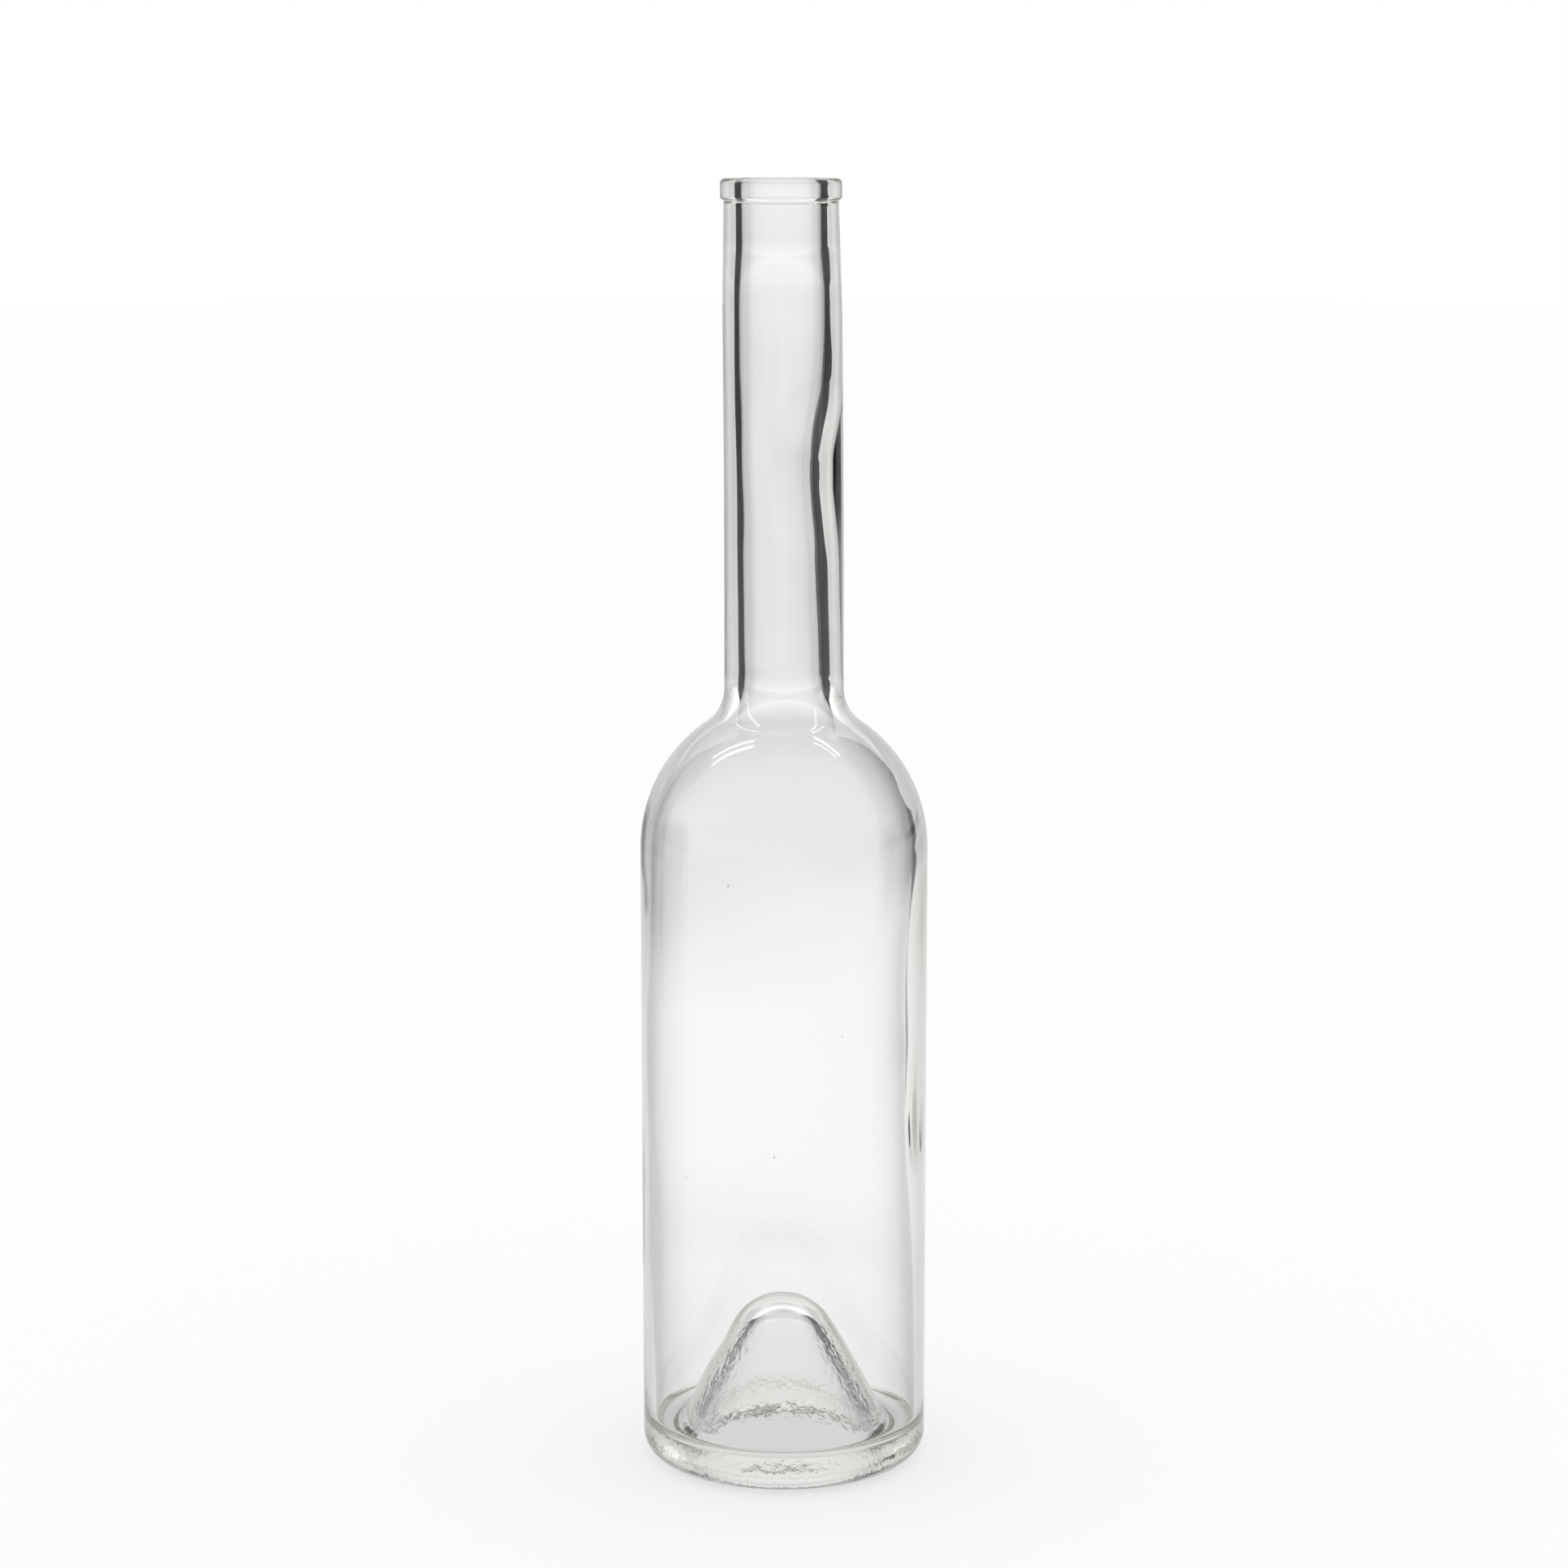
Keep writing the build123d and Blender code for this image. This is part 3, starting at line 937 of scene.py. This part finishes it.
# %% Small card for the lump
lump_greys = [(0.085, "ECECEC"), (0.11, "595959"), (0.15, "595959"), (0.17, "ECECEC")]
lump_felt, tree = fresh_material("soft_felt_beside_the_lump")
place = add_node(tree, "ShaderNodeTexCoord").outputs["Object"]
axes = add_node(tree, "ShaderNodeSeparateXYZ", {0: place})
by_height = add_node(tree, "ShaderNodeValToRGB", {"Fac": axes.outputs["Z"]}, stops=lump_greys)
face = add_node(
    tree, "ShaderNodeEmission", {"Color": by_height.outputs["Color"]}, {"Strength": 1.0}
)
add_node(tree, "ShaderNodeOutputMaterial", {"Surface": face.outputs["Emission"]})
card("card_lump", lump_felt, [(0.085, 36, 66, 1.28), (0.17, 36, 66, 1.28)], "glossy")

# %% [markdown]
# ## The backdrop
# Between the black cards the glass looks at the wall behind the table. In a studio that is a roll
# of white paper, lit unevenly: its foot lies in the table's shade, a lamp makes a bright band at
# the height of the neck, and it grows bright again near the ceiling. Two curved sheets stand for
# it, one above the other, in greys that follow the height and the distance from the middle. The
# picture's own background stays plain white, because only rays through the glass see them.

# %% Backdrop paper
def backdrop_paper(name, up_greys, across_greys, strength):
    """Paper in greys that follow the height and the distance from the middle, in metres."""
    material, tree = fresh_material(name)
    place = add_node(tree, "ShaderNodeTexCoord").outputs["Object"]
    axes = add_node(tree, "ShaderNodeSeparateXYZ", {0: place})
    across = add_node(tree, "ShaderNodeMath", {0: axes.outputs["X"]}, operation="ABSOLUTE")
    by_height = add_node(tree, "ShaderNodeValToRGB", {"Fac": axes.outputs["Z"]}, stops=up_greys)
    by_side = add_node(tree, "ShaderNodeValToRGB", {"Fac": across.outputs[0]}, stops=across_greys)
    tone = add_node(
        tree,
        "ShaderNodeMix",
        {6: by_height.outputs["Color"], 7: by_side.outputs["Color"]},
        {0: 1.0},
        data_type="RGBA",
        blend_type="MULTIPLY",
    )
    face = add_node(tree, "ShaderNodeEmission", {"Color": tone.outputs[2]}, {"Strength": strength})
    add_node(tree, "ShaderNodeOutputMaterial", {"Surface": face.outputs["Emission"]})
    print(name, "shines with a strength of", round(strength, 2))
    return material


low_greys = [
    (0.0, "EDEDED"), (0.03, "EBEBEB"), (0.06, "E9E9E9"), (0.10, "EDEDED"), (0.16, "EDEDED"),
    (0.20, "F0F0F0"), (0.225, "F3F3F3"), (0.26, "F7F7F7"), (0.285, "F8F8F8"),
    (0.315, "FFFFFF"), (0.345, "F3F3F3"), (0.43, "EFEFEF"), (0.50, "F8F8F8"),
]
high_greys = [(0.50, "D3D3D3"), (0.82, "DDDDDD"), (0.97, "FFFFFF")]
high_side_greys = [(0.15, "E2E2E2"), (0.35, "EEEEEE"), (0.60, "FFFFFF")]
print("greys up the backdrop:", len(low_greys), "below and", len(high_greys), "above")

# %% [markdown]
# The sheets hang just behind the cards, and reach as far round as the gap between them. The upper
# one is lit harder than white paper under the camera's light, as paper beside a lamp is: only there
# is a strength above 1 right.

# %% Hang the two sheets
BACKDROP_FAR, SEAM, BACKDROP_TOP, HIGH_STRENGTH = 1.35, 0.50, 1.9, 1.5225
low_paper = backdrop_paper("backdrop_paper_low", low_greys, painted_side_falloff_greys, 1.0)
high_paper = backdrop_paper("backdrop_paper_high", high_greys, high_side_greys, HIGH_STRENGTH)
low_rows = [(level, -44, 44, BACKDROP_FAR) for level in (LIFT, SEAM)]
high_rows = [(level, -44, 44, BACKDROP_FAR) for level in (SEAM, BACKDROP_TOP)]
card("backdrop_low", low_paper, low_rows, "transmission")
card("backdrop_high", high_paper, high_rows, "transmission")

# %% [markdown]
# ## Soft light
# The world lights the floor evenly. For the glass it shows a sky that is bright at the horizon and
# dimmer overhead, as a room with pale walls and a dark ceiling is. The same two answers of Light
# Path choose between them.

# %% World
sky_greys = [
    (0.0, "ECECEC"), (0.08, "ECECEC"), (0.25, "DDDDDD"), (0.6, "BCBCBC"), (1.0, "ADADAD"),
]
world = bpy.data.worlds.new("studio")
bpy.context.scene.world = world
world.use_nodes = True
tree = world.node_tree
tree.nodes.clear()
way = add_node(tree, "ShaderNodeTexCoord").outputs["Generated"]
upwards = add_node(tree, "ShaderNodeSeparateXYZ", {0: way}).outputs["Z"]
sky = add_node(tree, "ShaderNodeValToRGB", {"Fac": upwards}, stops=sky_greys)
even = add_node(tree, "ShaderNodeBackground", values={"Color": WHITE, "Strength": 1.0})
seen = add_node(tree, "ShaderNodeBackground", {"Color": sky.outputs["Color"]}, {"Strength": 1.0})
ray = add_node(tree, "ShaderNodeLightPath")
in_glass = add_node(
    tree,
    "ShaderNodeMath",
    {0: ray.outputs["Is Glossy Ray"], 1: ray.outputs["Is Transmission Ray"]},
    operation="MAXIMUM",
)
both = add_node(
    tree,
    "ShaderNodeMixShader",
    {0: in_glass.outputs[0], 1: even.outputs[0], 2: seen.outputs[0]},
)
add_node(tree, "ShaderNodeOutputWorld", {"Surface": both.outputs["Shader"]})
print("sky at the horizon and overhead:", sky_greys[0][1], sky_greys[-1][1])

# %% [markdown]
# Two long, narrow lights hang in the dim part of the sky. A round surface shows a light as a
# thread, and these make the white threads on the shoulder and the lip. They shine for the glass
# alone, and their power follows their size, so that each is equally bright.

# %% Strip lights
STRIP_WIDTH, STRIP_HEIGHT, STRIP_BRIGHTNESS = 0.055, 1.2, 5.0


def strip_light(name, x, y, length, heading):
    """A thin overhead light at a place in metres, turned by a heading in degrees."""
    lamp = bpy.data.lights.new(name, "AREA")
    lamp.shape = "RECTANGLE"
    lamp.size, lamp.size_y = length, STRIP_WIDTH
    lamp.energy = STRIP_BRIGHTNESS * pi * length * STRIP_WIDTH
    light = bpy.data.objects.new(name, lamp)
    light.location = (x, y, STRIP_HEIGHT)
    light.rotation_euler = (0.0, 0.0, radians(heading))
    light.visible_camera = light.visible_diffuse = False
    bpy.context.scene.collection.objects.link(light)
    print(name, round(lamp.energy, 2), "watts")


strip_light("left_strip", -0.655, 0.28, 0.69, -18)
strip_light("right_strip", 0.525, 0.20, 0.42, -15)

# %% [markdown]
# ## The camera
# The picture was taken with a long lens from a little above the mouth, looking down by about ten
# degrees. These numbers come from fitting the bottle's outline and the curve of its base.

# %% Camera
LENS, SENSOR, DISTANCE, CAMERA_HEIGHT, LOOKING_DOWN = 88.71, 36.0, 0.8991, 0.31886, 9.777
eye = bpy.data.cameras.new("studio_camera")
eye.lens, eye.sensor_width = LENS, SENSOR
camera = bpy.data.objects.new("studio_camera", eye)
camera.location = (0.0, -DISTANCE, CAMERA_HEIGHT)
camera.rotation_euler = (radians(90 - LOOKING_DOWN), 0.0, 0.0)
bpy.context.scene.collection.objects.link(camera)
bpy.context.scene.camera = camera
print("camera looks down by", LOOKING_DOWN, "degrees")

# %% [markdown]
# A ray that enters clear glass bends and reflects many times before it leaves. Blender stops it
# after a few turns and shows black in its place, so the heavy base looks dirty. These three limits
# let a ray go on for longer.

# %% Bounces
light_paths = bpy.context.scene.cycles
light_paths.max_bounces = 64
light_paths.glossy_bounces = 48
light_paths.transmission_bounces = 48
print("bounces:", light_paths.max_bounces, "in all, 48 through glass")

# %% [markdown]
# ## Plain colours out
# The Standard view keeps a colour as it was written, so white paper stays white.

bpy.context.scene.view_settings.view_transform = "Standard"
